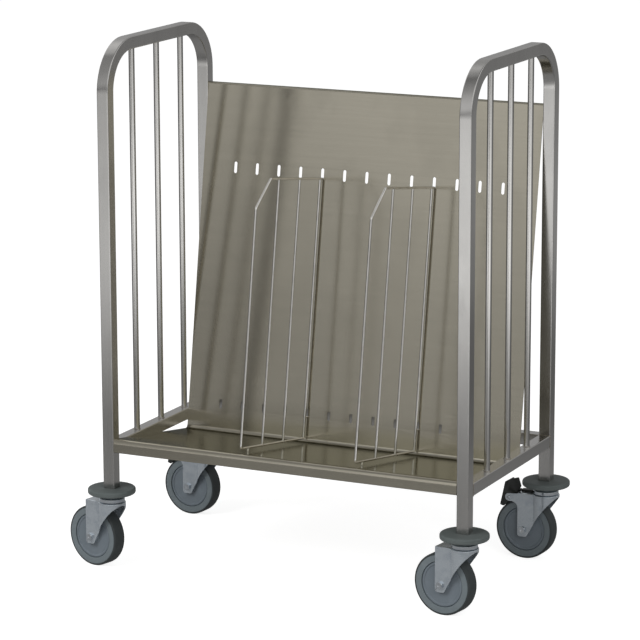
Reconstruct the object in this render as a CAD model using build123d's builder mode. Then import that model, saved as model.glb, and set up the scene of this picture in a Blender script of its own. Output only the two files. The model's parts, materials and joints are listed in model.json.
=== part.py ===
from build123d import *
import os
from math import cos, radians, sin, tan

# ---------------------------------------------------------------------------------------------
# Plate dispenser cart, in millimetres. +X runs along the cart, +Y to the back, +Z up.
# The origin is on the floor, in the middle of the cart's footprint.
# ---------------------------------------------------------------------------------------------

# Side frames of bent square tube
frame_length = 800.0
frame_depth = 450.0
frame_height = 1075.0
tube = 25.0
tube_wall = 1.5
tube_corner = 2.0
bend_radius = 90.0
rail_top = 265.0

# Upright rods in the side frames
rod_diameter = 12.0
rod_pitch = 103.0
rods_per_side = 3

# Folded rack sheet: front lip, shelf that slopes down to the back, and leaning back panel
sheet = 1.5
lean = 9.0
fold_z = 223.5
lip_bottom = 244.5
lip_hem = 12.0
lip_bend = 9.0
hem_bend = 3.0
fold_bend = 8.0
panel_length = 726.0
panel_bend = 3.0
top_return = 20.0
top_drop = 24.0

# Slots for the dividers, measured up the panel from the fold
slot_pitch = 50.0
slot_columns = 13
slot_width = 7.0
upper_slot_height = 24.0
upper_slot_bottom = 541.5
lower_slot_bottom = 48.5
keyway_width = 5.8
keyway_height = 8.0
window_height = 11.0

# Stiffening channel behind the panel
stiffener_length = 742.0
stiffener_bottom = 586.0
stiffener_height = 20.0
stiffener_depth = 7.0
stiffener_sheet = 1.2

# Wire dividers, measured in the plane of the shelf and the panel
wire = 5.0
wire_clearance = 0.3
divider_columns = {"left": 4, "right": 9}
divider_front_gap = 23.4
divider_base = 8.5
divider_chamfer = 58.0
wire_bend = 6.0
hook_bend = 4.0
hook_drop = 12.0
lower_hook_drop = 10.0
rear_bar_gap = 9.0
bars_per_divider = 3
foot_setback = 33.0

# Bumpers and the inserts in the legs
bumper_diameter = 97.0
bumper_thickness = 12.0
bumper_edge = 4.0
bumper_recess = 6.0
bumper_clearance = 0.1
plug_height = 38.0
plug_clearance = 0.1
plug_corner = 2.5
plug_chamfer = 1.5

# Casters: sizes common to all four
wheel_diameter = 125.0
tyre_width = 30.0
tyre_depth = 16.5
tyre_shoulder = 4.0
hub_length = 35.4
hub_rim_width = 27.0
hub_groove = 2.0
hub_recess = 1.5
hub_recess_inner = 13.0
hub_recess_outer = 41.0
hub_boss_slope = 2.0
trail = 42.0
caster_height = 157.0
fork_sheet = 2.5
fork_side_clearance = 0.3
fork_tail = 12.0
fork_toe = 8.0
fork_below_axle = 15.0
fork_waist_forward = 22.0
fork_waist_rise = 38.0
fork_nose_drop = 1.0
fork_corner = 5.0
crown_top = 139.5
crown_radius = 28.0
crown_edge = 1.5
crown_boss_radius = 22.0
crown_boss_height = 4.0
race_gap = 1.8
race_band = 6.2
race_radius = 26.0
race_bore_radius = 22.5
race_shoulder = 1.5
race_shoulder_radius = 24.5
race_neck_radius = 19.0
kingpin_diameter = 12.0
kingpin_nut_width = 19.0
kingpin_nut_height = 7.0
kingpin_engagement = 30.0
running_clearance = 0.05
face_clearance = 0.3
bush_diameter = 15.0
axle_diameter = 8.0
bolt_head_width = 13.0
bolt_head_height = 5.3
nut_height = 6.5
bolt_end = 2.5
bolt_chamfer = 0.8

# Brake pedal of the rear casters, measured from the wheel's centre
pedal_pin_diameter = 6.0
pedal_pin_back = 32.0
pedal_pin_rise = 65.0
pedal_pin_head = 1.5
ear_radius = 8.0
ear_fillet = 14.0
pedal_side_clearance = 0.8
pedal_toe_back = 21.0
pedal_toe_rise = 2.0
pedal_toe_width = 8.0
pedal_toe_drop = 21.0
pedal_heel_forward = 5.0
pedal_heel_drop = 4.0
pedal_lobe_forward = 18.0
pedal_lobe_rise = 20.0
pedal_top_forward = 12.0
pedal_top_rise = 38.0
pedal_top_back = 10.0
pedal_top_slope = 7.0
pedal_back = 15.0
pedal_back_rise = 8.0
pedal_round = 2.0
pedal_wall = 8.0
pedal_web = 6.0
pedal_pocket_rise = 11.0

# Where each caster stands and how far it has swung about its stem, in degrees
casters = {
    "front_left": (-1, -1, -13.0),
    "front_right": (1, -1, -8.0),
    "rear_left": (-1, 1, -5.0),
    "rear_right": (1, 1, -3.0),
}

# ---------------------------------------------------------------------------------------------
# Places worked out from the sizes above
# ---------------------------------------------------------------------------------------------
wheel_radius = wheel_diameter / 2
frame_x = (trail + wheel_radius - bumper_diameter / 2) / 2
leg_x = (frame_length - tube) / 2
leg_y = (frame_depth - tube) / 2
inner_x = leg_x - tube / 2
inner_y = leg_y - tube / 2
tube_inner_corner = tube_corner - tube_wall
leg_bottom = caster_height + bumper_thickness - bumper_recess
rail_middle = rail_top - tube / 2
top_bar_underside = frame_height - tube

# The rack: its panel's top return ends flush with the back of the legs
lean_sin = sin(radians(lean))
lean_cos = cos(radians(lean))
fold_y = frame_depth / 2 - top_return - panel_length * lean_sin
fold = (frame_x, fold_y, fold_z)
lip_y = -frame_depth / 2
lip_top = fold_z + (fold_y - lip_y) * tan(radians(lean))
# Local x runs along the cart, local y up the panel, local z out of the panel's front
panel_plane = Plane(origin=fold, x_dir=(1, 0, 0), z_dir=(0, -lean_cos, lean_sin))

divider_length = (fold_y - lip_y) / lean_cos - divider_front_gap
bar_pitch = (divider_length - rear_bar_gap) / bars_per_divider

fork_inside = hub_length + 2 * fork_side_clearance
fork_outside = fork_inside + 2 * fork_sheet
axle_x = -trail
crown_underside = crown_top - fork_sheet
fork_foot = wheel_radius - fork_below_axle
fork_rear = axle_x - fork_tail
hub_radius = wheel_radius - tyre_depth
pedal_pin_x = axle_x - pedal_pin_back
pedal_pin_z = wheel_radius + pedal_pin_rise
ear_foot = pedal_pin_z - ear_radius
ear_head = pedal_pin_z + ear_radius
race_bottom = crown_top + race_gap
race_top = race_bottom + race_band + race_shoulder
race_ceiling = crown_top + crown_boss_height + face_clearance


def on_panel(along, up):
    """A point in the YZ plane: so far forward of the panel's face, so far up the panel."""
    return (fold_y - along * lean_cos + up * lean_sin, fold_z + along * lean_sin + up * lean_cos)


def write(part, label):
    """Label a finished piece and write it as a STEP file of that name."""
    part.label = label
    export_step(part, f"parts/{label}.step")


def square_tube_section():
    """The hollow section that the frame is made of, drawn in the current sketch."""
    RectangleRounded(tube, tube, tube_corner)
    bore = tube - 2 * tube_wall
    RectangleRounded(bore, bore, tube_inner_corner, mode=Mode.SUBTRACT)


os.makedirs("parts", exist_ok=True)

# ---------------------------------------------------------------------------------------------
# Side frames, rails and rods
# ---------------------------------------------------------------------------------------------
for side, sign in (("left", -1), ("right", 1)):
    side_x = frame_x + sign * leg_x
    side_plane = Plane.YZ.offset(side_x)

    with BuildPart() as side_frame:
        with BuildLine(side_plane):
            FilletPolyline(
                (-leg_y, leg_bottom),
                (-leg_y, frame_height - tube / 2),
                (leg_y, frame_height - tube / 2),
                (leg_y, leg_bottom),
                radius=bend_radius,
            )
        with BuildSketch(Plane(origin=(side_x, -leg_y, leg_bottom), z_dir=(0, 0, 1))):
            square_tube_section()
        sweep()
    write(side_frame.part, f"{side}_side_frame")

    rail_plane = Plane(origin=(side_x, -inner_y, rail_middle), x_dir=(1, 0, 0), z_dir=(0, 1, 0))
    with BuildPart() as side_rail:
        with BuildSketch(rail_plane):
            square_tube_section()
        extrude(amount=2 * inner_y)
    write(side_rail.part, f"{side}_side_rail")

    for index, place in enumerate(("front", "middle", "rear")[:rods_per_side]):
        rod_y = (index - (rods_per_side - 1) / 2) * rod_pitch
        with BuildPart() as rod:
            with BuildSketch(Plane(origin=(side_x, rod_y, rail_top), z_dir=(0, 0, 1))):
                Circle(rod_diameter / 2)
            extrude(amount=top_bar_underside - rail_top)
        write(rod.part, f"{side}_rod_{place}")

cross_plane = Plane(origin=(frame_x - inner_x, leg_y, rail_middle), x_dir=(0, 1, 0), z_dir=(1, 0, 0))
with BuildPart() as cross_rail:
    with BuildSketch(cross_plane):
        square_tube_section()
    extrude(amount=2 * inner_x)
write(cross_rail.part, "rear_cross_rail")

# ---------------------------------------------------------------------------------------------
# Rack sheet: one folded sheet between the side frames, and the channel behind its panel
# ---------------------------------------------------------------------------------------------
panel_top_y, panel_top_z = on_panel(0, panel_length)

with BuildPart() as rack_sheet:
    with BuildSketch(Plane.YZ.offset(frame_x - inner_x)) as folded:
        with BuildLine():
            visible = FilletPolyline(
                (lip_y + lip_hem, lip_bottom),
                (lip_y, lip_bottom),
                (lip_y, lip_top),
                (fold_y, fold_z),
                (panel_top_y, panel_top_z),
                (panel_top_y + top_return, panel_top_z),
                (panel_top_y + top_return, panel_top_z - top_drop),
                radius=(hem_bend, lip_bend, fold_bend, panel_bend, panel_bend),
            )
            offset(visible, amount=sheet, side=Side.RIGHT)
        make_face()
    extrude(amount=2 * inner_x)
    with BuildSketch(panel_plane):
        with Locations((0, upper_slot_bottom + upper_slot_height / 2)):
            with GridLocations(slot_pitch, 0, slot_columns, 1):
                SlotOverall(upper_slot_height, slot_width, rotation=90)
        with Locations((0, lower_slot_bottom + keyway_height + window_height / 2)):
            with GridLocations(slot_pitch, 0, slot_columns, 1):
                Rectangle(slot_width, window_height)
        with Locations((0, lower_slot_bottom + keyway_width / 2 + keyway_height / 2)):
            with GridLocations(slot_pitch, 0, slot_columns, 1):
                Rectangle(keyway_width, keyway_height)
        with Locations((0, lower_slot_bottom + keyway_width / 2)):
            with GridLocations(slot_pitch, 0, slot_columns, 1):
                Circle(keyway_width / 2)
    extrude(amount=-2 * sheet, mode=Mode.SUBTRACT)
write(rack_sheet.part, "rack_sheet")

stiffener_plane = Plane(
    origin=(frame_x - stiffener_length / 2, *on_panel(-sheet, stiffener_bottom)),
    x_dir=(0, lean_cos, -lean_sin),
    z_dir=(1, 0, 0),
)
with BuildPart() as panel_stiffener:
    with BuildSketch(stiffener_plane):
        with Locations((0, 0)):
            Rectangle(stiffener_depth, stiffener_height, align=(Align.MIN, Align.MIN))
        with Locations((0, stiffener_sheet)):
            Rectangle(
                stiffener_depth - stiffener_sheet,
                stiffener_height - 2 * stiffener_sheet,
                align=(Align.MIN, Align.MIN),
                mode=Mode.SUBTRACT,
            )
    extrude(amount=stiffener_length)
write(panel_stiffener.part, "panel_stiffener")

# ---------------------------------------------------------------------------------------------
# Wire dividers: a bent outline, upright bars, a foot on the shelf and a lower hook
# ---------------------------------------------------------------------------------------------
top_wire = upper_slot_bottom + wire / 2 + wire_clearance
lower_hook_wire = lower_slot_bottom + wire / 2 + wire_clearance
hook_back = -(sheet + hook_bend)

for side, column in divider_columns.items():
    divider_x = frame_x + (column - (slot_columns - 1) / 2) * slot_pitch
    # Local x runs forward along the shelf, local y up the panel
    divider_plane = Plane(
        origin=(divider_x, fold_y, fold_z),
        x_dir=(0, -lean_cos, lean_sin),
        z_dir=(-1, 0, 0),
    )

    with BuildPart() as outline:
        with BuildLine(divider_plane):
            FilletPolyline(
                (rear_bar_gap - wire / 2, divider_base),
                (divider_length, divider_base),
                (divider_length, top_wire - divider_chamfer),
                (divider_length - divider_chamfer, top_wire),
                (hook_back, top_wire),
                (hook_back, top_wire - hook_drop),
                radius=(wire_bend, wire_bend, wire_bend, hook_bend),
            )
        start = divider_plane.from_local_coords((rear_bar_gap - wire / 2, divider_base, 0))
        with BuildSketch(Plane(origin=start, z_dir=divider_plane.x_dir)):
            Circle(wire / 2)
        sweep()
    write(outline.part, f"{side}_divider_outline")

    with BuildPart() as bars:
        bar_foot = divider_plane.from_local_coords((rear_bar_gap, divider_base, 0))
        with BuildSketch(Plane(origin=bar_foot, x_dir=divider_plane.x_dir, z_dir=divider_plane.y_dir)):
            for index in range(bars_per_divider):
                with Locations((index * bar_pitch, 0)):
                    Circle(wire / 2)
        extrude(amount=top_wire - divider_base)
        add(outline.part, mode=Mode.SUBTRACT)
    write(bars.part, f"{side}_divider_bars")

    with BuildPart() as foot:
        foot_end = divider_plane.from_local_coords((divider_length - foot_setback, wire_clearance, 0))
        with BuildSketch(Plane(origin=foot_end, x_dir=divider_plane.x_dir, z_dir=divider_plane.y_dir)):
            Circle(wire / 2)
        extrude(amount=divider_base - wire_clearance)
        add(outline.part, mode=Mode.SUBTRACT)
    write(foot.part, f"{side}_divider_foot")

    with BuildPart() as lower_hook:
        with BuildLine(divider_plane):
            FilletPolyline(
                (rear_bar_gap, lower_hook_wire),
                (hook_back, lower_hook_wire),
                (hook_back, lower_hook_wire - lower_hook_drop),
                radius=hook_bend,
            )
        start = divider_plane.from_local_coords((rear_bar_gap, lower_hook_wire, 0))
        with BuildSketch(Plane(origin=start, z_dir=-divider_plane.x_dir)):
            Circle(wire / 2)
        sweep()
        add(bars.part, mode=Mode.SUBTRACT)
    write(lower_hook.part, f"{side}_divider_lower_hook")

# ---------------------------------------------------------------------------------------------
# One caster with its bumper, built with its stem on the Z axis and its wheel trailing to -X
# ---------------------------------------------------------------------------------------------
bumper_socket = tube + 2 * bumper_clearance
with BuildPart() as bumper:
    with BuildSketch(Plane.XZ):
        with Locations((0, caster_height)):
            Rectangle(bumper_diameter / 2, bumper_thickness, align=(Align.MIN, Align.MIN))
    revolve(axis=Axis.Z)
    rim = bumper.edges().filter_by(GeomType.CIRCLE)
    fillet(rim, bumper_edge)
    with BuildSketch(Plane.XY.offset(leg_bottom)):
        RectangleRounded(bumper_socket, bumper_socket, tube_corner)
    extrude(amount=bumper_recess, mode=Mode.SUBTRACT)
    with BuildSketch(Plane.XY.offset(caster_height)):
        Circle(kingpin_diameter / 2 + running_clearance)
    extrude(amount=bumper_thickness, mode=Mode.SUBTRACT)

plug_side = tube - 2 * tube_wall - 2 * plug_clearance
with BuildPart() as leg_plug:
    with BuildSketch(Plane.XY.offset(leg_bottom)):
        RectangleRounded(plug_side, plug_side, plug_corner)
    extrude(amount=plug_height)
    chamfer(leg_plug.faces().sort_by(Axis.Z)[-1].edges(), plug_chamfer)
    with BuildSketch(Plane.XY.offset(leg_bottom)):
        Circle(kingpin_diameter / 2 + running_clearance)
    extrude(amount=kingpin_engagement, mode=Mode.SUBTRACT)

kingpin_foot = crown_underside - face_clearance - kingpin_nut_height
with BuildPart() as kingpin:
    with BuildSketch(Plane.XY.offset(kingpin_foot)):
        Circle(kingpin_diameter / 2)
    extrude(amount=leg_bottom + kingpin_engagement - kingpin_foot)
    with BuildSketch(Plane.XY.offset(kingpin_foot)):
        RegularPolygon(kingpin_nut_width / 2, 6, major_radius=False)
    extrude(amount=kingpin_nut_height)

with BuildPart() as race_cup:
    with BuildSketch(Plane.XZ):
        with BuildLine():
            Polyline(
                (kingpin_diameter / 2 + running_clearance, caster_height),
                (race_neck_radius, caster_height),
                (race_neck_radius, race_top),
                (race_shoulder_radius, race_top),
                (race_radius, race_top - race_shoulder),
                (race_radius, race_bottom),
                (race_bore_radius, race_bottom),
                (race_bore_radius, race_ceiling),
                (kingpin_diameter / 2 + running_clearance, race_ceiling),
                close=True,
            )
        make_face()
    revolve(axis=Axis.Z)


def fork_plan(shrink, rear):
    """Plan of the fork in the current sketch: a round head with two flat sides running back to rear."""
    Circle(crown_radius - shrink)
    with Locations((rear / 2, 0)):
        Rectangle(-rear, fork_outside - 2 * shrink)


def build_fork(braked):
    """One pressed fork: a skirt cut to its side view, a crown, and ears for the pedal if braked."""
    plan_rear = pedal_pin_x - ear_radius if braked else fork_rear
    with BuildPart() as fork:
        with BuildSketch(Plane.XY.offset(fork_foot)):
            fork_plan(0, plan_rear)
        extrude(amount=crown_underside - fork_foot)
        with BuildSketch(Plane.XY.offset(fork_foot)):
            fork_plan(fork_sheet, plan_rear - fork_sheet)
        extrude(amount=crown_underside - fork_foot, mode=Mode.SUBTRACT)
        with BuildSketch(Plane.XZ) as side_view:
            with BuildLine():
                toe = (axle_x + fork_toe, fork_foot)
                waist = (toe[0] + fork_waist_forward, fork_foot + fork_waist_rise)
                nose = (crown_radius, crown_underside - fork_nose_drop)
                ThreePointArc(toe, waist, nose)
                Polyline(
                    nose,
                    (crown_radius, crown_top),
                    (fork_rear, crown_top),
                    (fork_rear, fork_foot),
                    toe,
                )
            make_face()
            fillet(side_view.vertices().group_by(Axis.Y)[0], fork_corner)
            if braked:
                with BuildLine():
                    Polyline(
                        (fork_rear, ear_foot - ear_fillet),
                        (fork_rear + fork_sheet, ear_foot - ear_fillet),
                        (fork_rear + fork_sheet, crown_underside),
                        (fork_rear, crown_underside),
                        (pedal_pin_x, ear_head),
                        (pedal_pin_x, ear_foot),
                        (fork_rear - ear_fillet, ear_foot),
                    )
                    CenterArc((fork_rear - ear_fillet, ear_foot - ear_fillet), ear_fillet, 0, 90)
                make_face()
                with Locations((pedal_pin_x, pedal_pin_z)):
                    Circle(ear_radius)
                    Circle(pedal_pin_diameter / 2 + running_clearance, mode=Mode.SUBTRACT)
        extrude(amount=2 * crown_radius, both=True, mode=Mode.INTERSECT)
        with BuildSketch(Plane.XY.offset(crown_underside)):
            fork_plan(0, fork_rear)
        extrude(amount=fork_sheet)
        fillet(fork.faces().sort_by(Axis.Z)[-1].edges(), crown_edge)
        with BuildSketch(Plane.XY.offset(crown_top)):
            Circle(crown_boss_radius)
        extrude(amount=crown_boss_height)
        with BuildSketch(Plane.XY.offset(crown_underside)):
            Circle(kingpin_diameter / 2 + running_clearance)
        extrude(amount=fork_sheet + crown_boss_height, mode=Mode.SUBTRACT)
        with BuildSketch(Plane.XZ):
            with Locations((axle_x, wheel_radius)):
                Circle(axle_diameter / 2 + running_clearance)
        extrude(amount=fork_outside, both=True, mode=Mode.SUBTRACT)
    return fork.part


axle_plane = Plane(origin=(axle_x, 0, wheel_radius), x_dir=(0, 1, 0), z_dir=(1, 0, 0))
axle_axis = Axis((axle_x, 0, wheel_radius), (0, 1, 0))
bolt_plane = Plane(origin=(axle_x, -fork_outside / 2, wheel_radius), x_dir=(1, 0, 0), z_dir=(0, 1, 0))

with BuildPart() as axle_bolt:
    with BuildSketch(bolt_plane):
        Circle(axle_diameter / 2)
    extrude(amount=fork_outside + nut_height + bolt_end)
    with BuildSketch(bolt_plane):
        RegularPolygon(bolt_head_width / 2, 6, major_radius=False)
    extrude(amount=-bolt_head_height)
    chamfer(axle_bolt.edges().filter_by(GeomType.CIRCLE).sort_by(Axis.Y)[-1], bolt_chamfer)

with BuildPart() as axle_nut:
    with BuildSketch(bolt_plane.offset(fork_outside)):
        RegularPolygon(bolt_head_width / 2, 6, major_radius=False)
        Circle(axle_diameter / 2 + running_clearance, mode=Mode.SUBTRACT)
    extrude(amount=nut_height)

with BuildPart() as axle_bush:
    with BuildSketch(bolt_plane.offset(fork_sheet)):
        Circle(bush_diameter / 2)
        Circle(axle_diameter / 2 + running_clearance, mode=Mode.SUBTRACT)
    extrude(amount=fork_inside)

with BuildPart() as hub:
    with BuildSketch(axle_plane):
        with BuildLine():
            Polyline(
                (0, bush_diameter / 2 + running_clearance),
                (hub_length / 2, bush_diameter / 2 + running_clearance),
                (hub_length / 2, hub_recess_inner),
                (hub_rim_width / 2 - hub_recess, hub_recess_inner + hub_boss_slope),
                (hub_rim_width / 2 - hub_recess, hub_recess_outer - hub_recess),
                (hub_rim_width / 2, hub_recess_outer),
                (hub_rim_width / 2, hub_radius - hub_groove),
                (hub_rim_width / 2 - hub_groove, hub_radius),
                (0, hub_radius),
                close=True,
            )
        make_face()
        mirror(about=Plane.YZ)
    revolve(axis=axle_axis)

with BuildPart() as tyre:
    with BuildSketch(axle_plane) as tyre_section:
        with Locations((0, hub_radius + tyre_depth / 2)):
            Rectangle(tyre_width, tyre_depth)
        fillet(tyre_section.vertices().group_by(Axis.Z)[-1], tyre_shoulder)
    revolve(axis=axle_axis)

# Brake pedal: a rocker between the fork's ears. Its lobe has a thick back wall and a thin web.
pedal_width = fork_inside - 2 * pedal_side_clearance
pedal_plane = Plane(origin=(pedal_pin_x, 0, pedal_pin_z), x_dir=(1, 0, 0), z_dir=(0, -1, 0))
with BuildPart() as pedal:
    with BuildSketch(pedal_plane) as pedal_side:
        Polygon(
            (-pedal_toe_back, pedal_toe_rise - pedal_toe_drop),
            (pedal_toe_width - pedal_toe_back, -pedal_toe_drop),
            (pedal_heel_forward, -pedal_heel_drop),
            (pedal_lobe_forward, pedal_lobe_rise),
            (pedal_top_forward, pedal_top_rise),
            (-pedal_top_back, pedal_top_rise - pedal_top_slope),
            (-pedal_back, pedal_back_rise),
            align=None,
        )
        fillet(pedal_side.vertices(), pedal_round)
        Circle(pedal_pin_diameter / 2 + running_clearance, mode=Mode.SUBTRACT)
    extrude(amount=pedal_width / 2, both=True)
    for flank in (1, -1):
        with BuildSketch(pedal_plane.offset(flank * pedal_web / 2)):
            Polygon(
                (pedal_wall - pedal_back, pedal_pocket_rise),
                (pedal_wall - pedal_top_back, 2 * pedal_top_rise),
                (2 * pedal_lobe_forward, 2 * pedal_top_rise),
                (2 * pedal_lobe_forward, pedal_pocket_rise),
                align=None,
            )
        extrude(amount=flank * pedal_width, mode=Mode.SUBTRACT)

with BuildPart() as pedal_pin:
    with BuildSketch(Plane.XZ):
        with Locations((pedal_pin_x, pedal_pin_z)):
            Circle(pedal_pin_diameter / 2)
    extrude(amount=fork_outside / 2 + pedal_pin_head, both=True)

# ---------------------------------------------------------------------------------------------
# The four casters, each turned about its stem as it stands
# ---------------------------------------------------------------------------------------------
plain_fork = build_fork(braked=False)
braked_fork = build_fork(braked=True)
plugs = []
kingpins = []

for corner, (side_sign, depth_sign, swing) in casters.items():
    stem = (frame_x + side_sign * leg_x, depth_sign * leg_y, 0)
    square = Location(stem)
    turned = Location(stem, (0, 0, swing))
    braked = depth_sign > 0
    write(bumper.part.moved(square), f"{corner}_bumper")
    write(race_cup.part.moved(square), f"{corner}_race_cup")
    plugs.append(leg_plug.part.moved(square))
    kingpins.append(kingpin.part.moved(square))
    write((braked_fork if braked else plain_fork).moved(turned), f"{corner}_fork")
    write(axle_bolt.part.moved(turned), f"{corner}_axle_bolt")
    write(axle_nut.part.moved(turned), f"{corner}_axle_nut")
    write(axle_bush.part.moved(turned), f"{corner}_axle_bush")
    write(hub.part.moved(turned), f"{corner}_hub")
    write(tyre.part.moved(turned), f"{corner}_tyre")
    if braked:
        write(pedal.part.moved(turned), f"{corner}_brake_pedal")
        write(pedal_pin.part.moved(turned), f"{corner}_pedal_pin")

write(Compound(children=plugs), "leg_plugs")
write(Compound(children=kingpins), "kingpins")
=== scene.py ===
"""Looks of the plate dispenser cart: its finishes, welds, turned pieces, studio and camera."""
from __future__ import annotations

import json
import logging
import math
from dataclasses import dataclass
from enum import Enum
from typing import Sequence

import bmesh
import bpy
from bpy.types import Material, Mesh, Object
from mathutils import Matrix, Vector

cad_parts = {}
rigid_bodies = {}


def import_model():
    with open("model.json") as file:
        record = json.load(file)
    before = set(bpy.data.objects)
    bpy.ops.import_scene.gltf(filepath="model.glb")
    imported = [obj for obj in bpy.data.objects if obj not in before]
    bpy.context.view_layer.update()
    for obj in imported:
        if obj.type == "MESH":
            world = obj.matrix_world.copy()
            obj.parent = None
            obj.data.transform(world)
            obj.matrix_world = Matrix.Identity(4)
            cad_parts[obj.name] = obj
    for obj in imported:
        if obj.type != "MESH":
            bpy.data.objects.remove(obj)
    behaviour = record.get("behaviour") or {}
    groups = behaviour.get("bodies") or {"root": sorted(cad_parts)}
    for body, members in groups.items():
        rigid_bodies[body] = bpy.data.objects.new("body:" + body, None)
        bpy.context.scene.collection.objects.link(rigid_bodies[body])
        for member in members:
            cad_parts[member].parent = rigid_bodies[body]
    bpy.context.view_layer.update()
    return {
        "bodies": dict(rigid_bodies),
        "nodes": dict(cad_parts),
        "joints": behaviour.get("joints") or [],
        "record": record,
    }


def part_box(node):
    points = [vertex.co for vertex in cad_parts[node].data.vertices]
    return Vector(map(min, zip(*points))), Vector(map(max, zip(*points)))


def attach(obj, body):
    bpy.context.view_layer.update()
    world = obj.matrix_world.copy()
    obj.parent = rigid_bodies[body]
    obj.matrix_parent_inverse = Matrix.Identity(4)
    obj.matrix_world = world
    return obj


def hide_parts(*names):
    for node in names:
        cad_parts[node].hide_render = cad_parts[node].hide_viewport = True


log = logging.getLogger("plate_cart")

MM = 0.001
PHOTO_SIDE = 640

# How far the rack leans back from upright
LEAN = math.radians(9.0)

# Points this close are one point, in metres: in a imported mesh, and in a turned form
PACKED_MERGE = 2e-6
TURNED_MERGE = 1e-7

Pair = tuple[float, float]
Triple = tuple[float, float, float]
Colour = Triple
Corner = Triple
Path = Sequence[Vector]
WHITE: Colour = (1.0, 1.0, 1.0)


# ---- Node trees and shader expressions ----
class Signal:
    """A node's output that takes part in sums, as a number does."""

    def __init__(self, tree: Tree, socket: bpy.types.NodeSocket) -> None:
        """Wrap an output socket of a tree."""
        self.tree = tree
        self.socket = socket

    def _math(self, operation: str, *values: Signal | float) -> Signal:
        """Return the result of one Math node on the values, in order."""
        return self.tree.node("ShaderNodeMath", dict(enumerate(values)), operation=operation)

    def __add__(self, other: Signal | float) -> Signal:
        """Return self + other."""
        return self._math("ADD", self, other)

    __radd__ = __add__

    def __sub__(self, other: Signal | float) -> Signal:
        """Return self - other."""
        return self._math("SUBTRACT", self, other)

    def __rsub__(self, other: Signal | float) -> Signal:
        """Return other - self."""
        return self._math("SUBTRACT", other, self)

    def __mul__(self, other: Signal | float) -> Signal:
        """Return self * other."""
        return self._math("MULTIPLY", self, other)

    __rmul__ = __mul__

    def __truediv__(self, other: Signal | float) -> Signal:
        """Return self / other."""
        return self._math("DIVIDE", self, other)

    def sine(self) -> Signal:
        """Return the sine of this angle in radians."""
        return self._math("SINE", self)

    def either(self, other: Signal | float) -> Signal:
        """Return the larger of the two."""
        return self._math("MAXIMUM", self, other)

    def ramp(self, low: float, high: float) -> Signal:
        """Return a smooth step: 0 below low, 1 above high, and a smooth turn between them."""
        sockets = {"Value": self, "From Min": low, "From Max": high}
        return self.tree.node("ShaderNodeMapRange", sockets, interpolation_type="SMOOTHSTEP", clamp=True)


class Tree:
    """A node tree under construction, with one method for any node."""

    def __init__(self, tree: bpy.types.NodeTree) -> None:
        """Empty the tree that is built in."""
        self.tree = tree
        tree.nodes.clear()

    def node(self, kind: str, inputs: dict, output: int | str = 0, **settings: str | bool) -> Signal | None:
        """Add one node and link or set its sockets.

        Args:
            kind: The node's type name.
            inputs: Socket name or number to a value or a signal.
            output: Which output is wanted.
            settings: Attributes of the node, set before its sockets.

        Returns:
            The wanted output as a signal, or None where the node has no output.
        """
        made = self.tree.nodes.new(kind)
        for key, value in settings.items():
            setattr(made, key, value)
        for key, value in inputs.items():
            if isinstance(value, Signal):
                self.tree.links.new(value.socket, made.inputs[key])
            else:
                made.inputs[key].default_value = value
        return Signal(self, made.outputs[output]) if made.outputs else None


class Shader(Tree):
    """A shader tree under construction."""

    def vector(self, operation: str, *values: Signal | Triple, output: int | str = 0) -> Signal:
        """Return the wanted output of one Vector Math node on the values, in order."""
        return self.node("ShaderNodeVectorMath", dict(enumerate(values)), output, operation=operation)

    def place(self) -> Signal:
        """Return the point on the piece, in metres."""
        return self.node("ShaderNodeTexCoord", {}, "Object")

    def height(self) -> Signal:
        """Return the point's height over the floor, in metres."""
        return self.node("ShaderNodeSeparateXYZ", {0: self.place()}, "Z")

    def noise(self, scale: Sequence[float], detail: float = 2.0, rough: float = 0.5) -> Signal:
        """Return noise from 0 to 1.

        Args:
            scale: Features per metre along X, Y and Z.
            detail: Octaves.
            rough: Strength of the finer octaves.

        Returns:
            The noise's value.
        """
        at = self.vector("MULTIPLY", self.place(), tuple(scale))
        sockets = {"Vector": at, "Scale": 1.0, "Detail": detail, "Roughness": rough}
        return self.node("ShaderNodeTexNoise", sockets, noise_dimensions="3D")

    def mix(self, share: Signal, first: Signal | Colour, second: Signal | Colour) -> Signal:
        """Return a colour between two.

        Args:
            share: 0 for the first colour, 1 for the second.
            first: The first colour.
            second: The second colour.

        Returns:
            The mixed colour.
        """
        full = [c if isinstance(c, Signal) else (*c, 1.0) for c in (first, second)]
        sockets = {0: share, 6: full[0], 7: full[1]}
        return self.node("ShaderNodeMix", sockets, 2, data_type="RGBA")

    def shade(self, colour: Signal, by: Signal) -> Signal:
        """Return the colour scaled in brightness."""
        return self.node("ShaderNodeVectorMath", {0: colour, "Scale": by}, operation="SCALE")

    def bump(self, height: Signal, depth: float) -> Signal:
        """Return a normal that shows a relief from 0 to 1, whose depth is in metres."""
        return self.node("ShaderNodeBump", {"Height": height, "Strength": 1.0, "Distance": depth})

    def ray(self, kind: str) -> Signal:
        """Return 1 for rays of a kind, such as Is Camera Ray."""
        return self.node("ShaderNodeLightPath", {}, kind)


class Paint(Shader):
    """One material under construction."""

    def __init__(self, name: str) -> None:
        """Start an empty material.

        Args:
            name: The material's name.
        """
        self.material = bpy.data.materials.new(name)
        self.material.use_nodes = True
        super().__init__(self.material.node_tree)

    def surface(self, **sockets: Signal | float | Sequence[float]) -> Material:
        """Close the material with a Principled shader, whose sockets have underscores for spaces."""
        named = {key.replace("_", " "): value for key, value in sockets.items()}
        return self.close(self.node("ShaderNodeBsdfPrincipled", named))

    def close(self, shader: Signal) -> Material:
        """Send a shader to the material's surface and return the material."""
        self.node("ShaderNodeOutputMaterial", {0: shader})
        return self.material


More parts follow.
